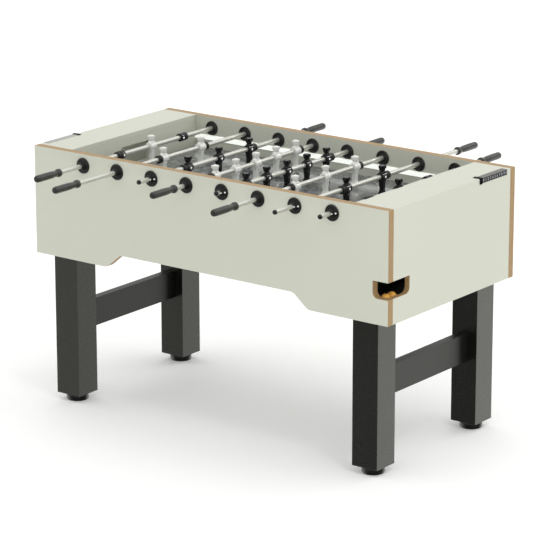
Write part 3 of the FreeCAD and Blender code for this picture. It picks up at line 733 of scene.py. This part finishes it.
def build_rods():
    """Bearings, players, stops, caps and grips of all eight rods."""
    bearings = {capped: bearing_mesh(capped) for capped in (True, False)}
    lock_ring = lock_ring_mesh()
    fittings = {STOP_LENGTH: ("stop", stop_mesh()), COLLAR_LENGTH: ("collar", collar_mesh())}
    cap = cap_mesh()
    grip = handle_mesh()
    teams = {True: player_mesh("white_players"), False: player_mesh("black_players")}
    wall_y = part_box("side_panel_back")[0].y
    for number in RODS:
        x = rod_x(number)
        front = handle_on_front(number)
        for side, name in ((-1, "front"), (1, "back")):
            at = along_y(x, side * wall_y, ROD_LEVEL, flipped=side < 0)
            capped = front != (side < 0)
            piece(f"bearing_{number}_{name}", bearings[capped], "root", ["rod_bearings"], at)
            piece(f"lock_ring_{number}_{name}", lock_ring, "root", ["rod_bearings"], at)

        for index, (low, high) in enumerate(solids(f"rod_{number}_players"), start=1):
            at = along_y(x, (low + high) / 2, ROD_LEVEL, flipped=not front)
            name = f"player_{number}_{index}"
            piece(name, teams[front], f"rod_{number}", [f"rod_{number}_players"], at)

        node = f"rod_{number}_stops"
        slider = f"rod_{number}_slider"
        spans = solids(node)
        cap_y = spans.pop()[1] if front else spans.pop(0)[0]
        at = along_y(x, cap_y, ROD_LEVEL, flipped=front)
        piece(f"cap_{number}", cap, slider, [node], at)
        for index, (low, high) in enumerate(spans, start=1):
            length = min(fittings, key=lambda known: abs(known * MM - (high - low)))
            kind, mesh = fittings[length]
            at = along_y(x, (low + high) / 2, ROD_LEVEL)
            piece(f"{kind}_{number}_{index}", mesh, slider, [node], at)

        low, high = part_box(f"rod_{number}_handle")
        start = high.y if front else low.y
        at = along_y(x, start, ROD_LEVEL, flipped=front)
        piece(f"grip_{number}", grip, f"rod_{number}", [f"rod_{number}_handle"], at)


# ---------------------------------------------------------------- feet, balls, score counters


def foot_mesh():
    """Levelling foot: a grooved rim, a low neck and a threaded stud. It looks along +Y."""
    shape = Shape()
    neck_top = 25.6
    profile = [(0, 0), (36.5, 0), (38.6, 0.6), (39.5, 2.4), (39.5, 8.2), (38.6, 9.0), (38.6, 11.4)]
    profile += [(39.5, 12.2), (39.5, 18.5), (38.4, 20.8), (36.0, 22.0), (24.0, 22.0), (15.5, 22.6)]
    profile += [(14.0, 24.0), (14.0, neck_top), (0, neck_top)]
    shape.turned(profile, segments=64)
    stud = [(0, neck_top)]
    stud += [(4.9 - 0.7 * (turn % 2), neck_top + 0.1 + turn * 0.8) for turn in range(48)]
    stud += [(0, 65)]
    shape.turned(stud, segments=20, material=1)
    return shape.mesh("levelling_foot", ["black_plastic", "zinc"])


def build_feet():
    """The four levelling feet, upright under their legs."""
    foot = foot_mesh()
    upright = Matrix.Rotation(math.pi / 2, 4, "X")
    for side in ("front", "back"):
        for end in ("left", "right"):
            node = f"foot_{side}_{end}"
            low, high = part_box(node)
            at = Matrix.Translation(((low.x + high.x) / 2, (low.y + high.y) / 2, low.z)) @ upright
            piece(f"{node}_shown", foot, node, [node], at)


def build_balls():
    """Balls with a fine moulding seam round the middle."""
    for number in (1, 2):
        low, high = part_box(f"ball_{number}")
        radius = (high.z - low.z) / 2 / MM
        shape = Shape()
        steps = 40
        profile = []
        for k in range(steps + 1):
            angle = math.pi * k / steps
            groove = 0.12 if abs(k - steps / 2) < 1 else 0.0
            reach = radius - groove
            profile.append((max(0.0, reach * math.sin(angle)), -reach * math.cos(angle)))
        profile[0] = (0, profile[0][1])
        profile[-1] = (0, profile[-1][1])
        shape.turned(profile, segments=56)
        tilt = Matrix.Rotation(math.radians(35 * number), 4, "X") @ Matrix.Rotation(math.radians(50), 4, "Z")
        at = Matrix.Translation((low + high) / 2) @ tilt
        mesh = shape.mesh(f"ball_skin_{number}", ["ball"])
        piece(f"ball_{number}_shown", mesh, f"ball_{number}", [f"ball_{number}"], at)


def digit_mesh(text, size):
    """A number, as a thin plate that stands on its face."""
    curve = bpy.data.curves.new(f"digit_{text}", "FONT")
    curve.body = text
    curve.size = size
    curve.extrude = 0.00012
    curve.align_x = "CENTER"
    curve.align_y = "CENTER"
    holder = bpy.data.objects.new("digit_holder", curve)
    bpy.context.scene.collection.objects.link(holder)
    bpy.context.view_layer.update()
    mesh = bpy.data.meshes.new_from_object(holder)
    bpy.data.objects.remove(holder)
    mesh.name = f"digit_{text}"
    mesh.materials.clear()
    mesh.materials.append(FINISHES["digit_paint"])
    return mesh


# Score counters, in millimetres from the outer top corner of the strip
SCORES = 11
SHEET = 1.2
STRIP_UNDER = -1.5
STRIP_INWARD = 22
FIRST_PLATE = 15.0
PLATE_GAP = 1.4
PLATE_FACE = STRIP_UNDER + SHEET + 0.6
NUMBER_HEIGHT = 13.5


def score_rail_mesh(overhang, length, drop, pitch):
    """Angle strip along +Y, with a raised plate for each number on its outer face."""
    reach = overhang + STRIP_INWARD
    rail = Shape()
    rail.block((-reach, 0, STRIP_UNDER), (STRIP_UNDER + SHEET, length, STRIP_UNDER + SHEET))
    rail.block((STRIP_UNDER, 0, -drop), (STRIP_UNDER + SHEET, length, STRIP_UNDER))
    for index in range(SCORES):
        near = FIRST_PLATE + index * pitch + PLATE_GAP / 2
        far = near + pitch - PLATE_GAP
        rail.block((STRIP_UNDER, near, -drop + 1.2), (PLATE_FACE, far, STRIP_UNDER - 0.4), material=1)
    return rail.mesh("score_rail", ["counter_plastic", "counter_plate"])


def score_marker_mesh(inner, width, foot):
    """Slider hooked over the strip, with a pointer rib on its outer face."""
    clear = PLATE_FACE + 0.4
    middle = width / 2
    marker = Shape()
    marker.block((inner, 0, 0.1), (clear + SHEET, width, 0.1 + SHEET))
    marker.block((clear, 0, foot), (clear + SHEET, width, 0.1))
    marker.block((clear + SHEET, middle - 1.2, foot + 3), (clear + SHEET + 1.0, middle + 1.2, -3))
    return marker.mesh("score_marker", ["marker_plastic"])


def build_score_counters():
    """Angle strips with eleven raised plates, a number on each, and a hooked marker that slides."""
    low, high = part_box("score_rails")
    marker_low, marker_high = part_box("score_marker_right")
    start = marker_low.y
    length = (high.y - start) / MM
    drop = (high.z - low.z) / MM
    pitch = (length - FIRST_PLATE) / SCORES
    overhang = (high.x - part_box("side_panel_front")[1].x) / MM
    marker_width = (marker_high.y - marker_low.y) / MM
    numbers = [digit_mesh(str(value), NUMBER_HEIGHT * MM) for value in range(SCORES)]
    facing_x = Matrix(((0, 0, 1, 0), (1, 0, 0, 0), (0, 1, 0, 0), (0, 0, 0, 1)))
    marker_inner = (marker_low.x - high.x) / MM
    marker_foot = (marker_low.z - high.z) / MM
    marker_mesh = score_marker_mesh(marker_inner, marker_width, marker_foot)
    rail_mesh = score_rail_mesh(overhang, length, drop, pitch)
    # The left rail takes a paler copy of the counter plastic: painted sheen of its top seen at a grazing
    # angle.
    sheen_painted_rail_mesh = rail_mesh.copy()
    sheen_painted_rail_mesh.materials[0] = FINISHES["counter_painted_sheen"]
    for end, turned in (("right", False), ("left", True)):
        half_turn = Matrix.Rotation(math.pi if turned else 0, 4, "Z")
        corner = half_turn @ Matrix.Translation((high.x, start, high.z))
        mesh = sheen_painted_rail_mesh if turned else rail_mesh
        piece(f"score_rail_{end}", mesh, "root", ["score_rails"], corner, bevel=0.25)
        for index, number in enumerate(numbers):
            y = (FIRST_PLATE + (index + 0.5) * pitch) * MM
            at = corner @ Matrix.Translation((PLATE_FACE * MM, y, (-drop / 2 - 0.4) * MM)) @ facing_x
            piece(f"score_number_{end}_{index}", number, "root", (), at)
        body = f"score_marker_{end}"
        at = half_turn @ Matrix.Translation((high.x, marker_low.y, high.z))
        piece(f"{body}_shown", marker_mesh, body, [body], at, bevel=0.3)


# ---------------------------------------------------------------- stage


def build_stage():
    """A wide pale floor that runs out of sight."""
    half = 40.0
    mesh = bpy.data.meshes.new("floor")
    corners = [(-half, -half, 0), (half, -half, 0), (half, half, 0), (-half, half, 0)]
    mesh.from_pydata(corners, [], [(0, 1, 2, 3)])
    finish = Finish("floor_paint", (0.9, 0.9, 0.893, 1.0), Roughness=0.7)
    finish.tint(finish.spread(finish.noise(0.4, 2.0), 0.3, 0.7, 0.0, 0.3), (0.885, 0.885, 0.88, 1.0))
    finish.shader.inputs["Specular IOR Level"].default_value = 0.1
    finish.shader.inputs["Emission Color"].default_value = (1.0, 1.0, 0.995, 1.0)
    finish.shader.inputs["Emission Strength"].default_value = 0.15
    mesh.materials.append(finish.material)
    floor = bpy.data.objects.new("floor", mesh)
    bpy.context.scene.collection.objects.link(floor)
    floor.visible_glossy = False


def build_light():
    """A white room that is brighter overhead, and two weak lamps for glints.

    Below the horizon the room has a slope from light to dark across it, for the sheen on the legs.
    """
    level, overhead, sideways = 0.64, 0.68, 0.08
    middle, across, back = 0.52, -5.06, 4.64
    darkest, lightest = 0.01, 1.75
    world = bpy.data.worlds.new("studio")
    world.use_nodes = True
    bpy.context.scene.world = world
    tree = world.node_tree
    background = tree.nodes["Background"]
    direction = tree.nodes.new("ShaderNodeTexCoord").outputs["Generated"]
    parts = tree.nodes.new("ShaderNodeSeparateXYZ")
    tree.links.new(direction, parts.inputs[0])

    def calculate(operation, *values):
        node = tree.nodes.new("ShaderNodeMath")
        node.operation = operation
        for index, value in enumerate(values):
            if isinstance(value, bpy.types.NodeSocket):
                tree.links.new(value, node.inputs[index])
            else:
                node.inputs[index].default_value = value
        return node.outputs[0]

    def mixed(*terms):
        """The sum of (weight, value) terms."""
        total = 0.0
        for weight, value in terms:
            total = calculate("ADD", total, calculate("MULTIPLY", weight, value))
        return total

    x, y, z = (parts.outputs[axis] for axis in "XYZ")
    sky = mixed((level, 1.0), (overhead, z), (sideways, x), (sideways, y))
    sloping = mixed((1.0, middle), (back, y), (across, x))
    below = calculate("MINIMUM", calculate("MAXIMUM", sloping, darkest), lightest)
    above = calculate("GREATER_THAN", z, 0.0)
    strength = mixed((above, sky), (calculate("SUBTRACT", 1.0, above), below))
    tree.links.new(strength, background.inputs["Strength"])
    background.inputs["Color"].default_value = (1.0, 1.0, 0.995, 1.0)

    for name, energy, position in (("key", 20, (3.2, -1.6, 4.6)), ("rim", 18, (2.2, 5.0, 4.2))):
        light = bpy.data.lights.new(name, "AREA")
        light.shape = "DISK"
        light.size = 0.5
        light.energy = energy
        light.color = (1.0, 0.99, 0.97)
        place_facing(bpy.data.objects.new(name, light), position, (0, 0, 0.7))


def place_facing(item, position, target):
    """Put a lamp into the scene at a position, turned towards a target."""
    position = Vector(position)
    item.location = position
    item.rotation_euler = (Vector(target) - position).to_track_quat("-Z", "Y").to_euler()
    bpy.context.scene.collection.objects.link(item)


def build_camera():
    """A long lens from the front right, a little above the table."""
    data = bpy.data.cameras.new("camera")
    data.sensor_width = 36.0
    data.lens = 193.12
    data.clip_end = 200.0
    camera = bpy.data.objects.new("camera", data)
    azimuth = math.radians(37.153)
    elevation = math.radians(15.924)
    flat = math.cos(elevation)
    back = Vector((math.sin(azimuth) * flat, -math.cos(azimuth) * flat, math.sin(elevation)))
    right = Vector((math.cos(azimuth), math.sin(azimuth), 0))
    up = back.cross(right)
    turn = Matrix((right, up, back)).transposed().to_4x4()
    roll = Matrix.Rotation(math.radians(-0.043), 4, "Z")
    camera.matrix_world = Matrix.Translation((5.9009, -7.7663, 3.2779)) @ turn @ roll
    bpy.context.scene.collection.objects.link(camera)
    bpy.context.scene.camera = camera


bpy.context.scene.view_settings.view_transform = "Standard"
build_camera()
build_stage()
build_light()
build_boards()
paint_nodes()
build_rods()
build_feet()
build_balls()
build_score_counters()
